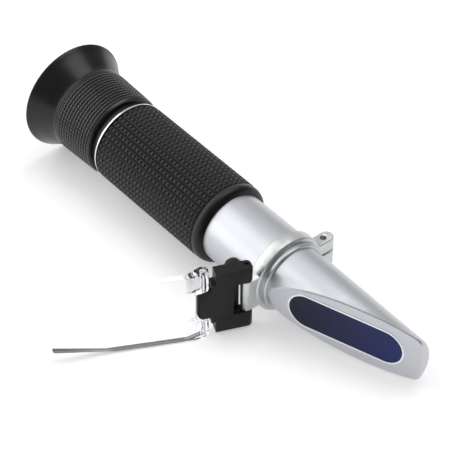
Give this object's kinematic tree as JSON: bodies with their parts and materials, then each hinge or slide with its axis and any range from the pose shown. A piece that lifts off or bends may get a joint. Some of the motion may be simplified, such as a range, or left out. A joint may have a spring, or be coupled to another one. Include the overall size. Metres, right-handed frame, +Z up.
{
  "type": "antifreeze refractometer",
  "caption": "Handheld refractometer with a slanting prism window, a clear cover on a jointed link, a rubber grip, a knurled focus ring and a flared eyecup.",
  "frame": {"origin": "middle of the bounding box at table height", "axes": "+Z up; +X along the instrument's length from the eyecup to the prism's tip, which points 3.1 degrees down; the cover lies open on the -Y side and the clamp screw is on the +Y side"},
  "size_m": [0.164, 0.0888, 0.0379],
  "materials": {
    "black_rubber": "moulded rubber, satin",
    "black_plastic": "moulded, fine matt texture",
    "satin_aluminium": "turned, satin anodised",
    "bright_aluminium": "turned, bright",
    "black_aluminium": "turned, black anodised",
    "cast_metal": "cast, matt grey",
    "steel": "plain steel",
    "strip_metal": "rolled bimetal",
    "brass": "turned",
    "prism_glass": "polished dark blue glass",
    "lens_glass": "polished clear glass",
    "clear_plastic": "clear moulded acrylic",
    "seal_rubber": "plain"
  },
  "bodies": {
    "body": {"barrel": "satin_aluminium", "grip": "black_rubber", "grip_ring": "bright_aluminium", "rear_neck": "black_aluminium", "guide_pin": "steel", "reticle_cell": "black_aluminium", "reticle": "lens_glass", "reticle_retainer": "black_aluminium", "strip_anchor": "black_aluminium", "bimetal_strip": "strip_metal", "lens_carrier": "black_aluminium", "objective_lens": "lens_glass", "screw_bush": "brass", "head": "satin_aluminium", "head_seal": "seal_rubber", "main_prism": "prism_glass", "prism_rim": "bright_aluminium", "clamp_ring": "cast_metal", "clamp_screw": "steel", "tab_pin": "steel"},
    "link": {"hinge_link": "black_plastic", "plate_pin": "steel"},
    "cover": {"daylight_plate": "clear_plastic"},
    "ocular": {"ocular_tube": "black_aluminium", "snap_ring": "steel", "field_lens": "lens_glass", "lens_spacer": "black_aluminium", "eye_lens": "lens_glass", "lens_retainer": "black_aluminium"},
    "focus": {"focus_ring": "black_plastic", "eyecup": "black_rubber"},
    "screw": {"calibration_screw": "steel"},
    "cap": {"screw_cap": "black_rubber"}
  },
  "joints": [
    {"name": "link_hinge", "type": "hinge", "parent": "body", "child": "link", "pos_m": [0.0272, 0.01002, 0.013], "axis": [0.0539, -0.0085, 0.9985], "range_deg": [-20, 131.4]},
    {"name": "plate_hinge", "type": "hinge", "parent": "link", "child": "cover", "pos_m": [0.02184, -0.00259, 0.01318], "axis": [0.0539, -0.0085, 0.9985], "range_deg": [-40, 5.2]},
    {"name": "focus_turn", "type": "hinge", "parent": "ocular", "child": "focus", "pos_m": [-0.07021, 0.02542, 0.01839], "axis": [0.9985, 0, -0.0539], "range_deg": [-200, 200]},
    {"name": "focus_travel", "type": "slide", "parent": "body", "child": "ocular", "axis": [0.9985, 0, -0.0539], "range_m": [-0.00225, 0.00225]},
    {"name": "screw_turn", "type": "hinge", "parent": "body", "child": "screw", "pos_m": [0.01772, 0.01371, 0.01457], "axis": [0.0042, -0.9969, 0.0786], "range_deg": [-180, 180]},
    {"name": "cap_pull", "type": "slide", "parent": "body", "child": "cap", "axis": [0.0042, -0.9969, 0.0786], "range_m": [0, 0.004]}
  ],
  "couplings": [
    {"joint": "focus_travel", "follows": "focus_turn", "m_per_rad": 0.00063662}
  ]
}
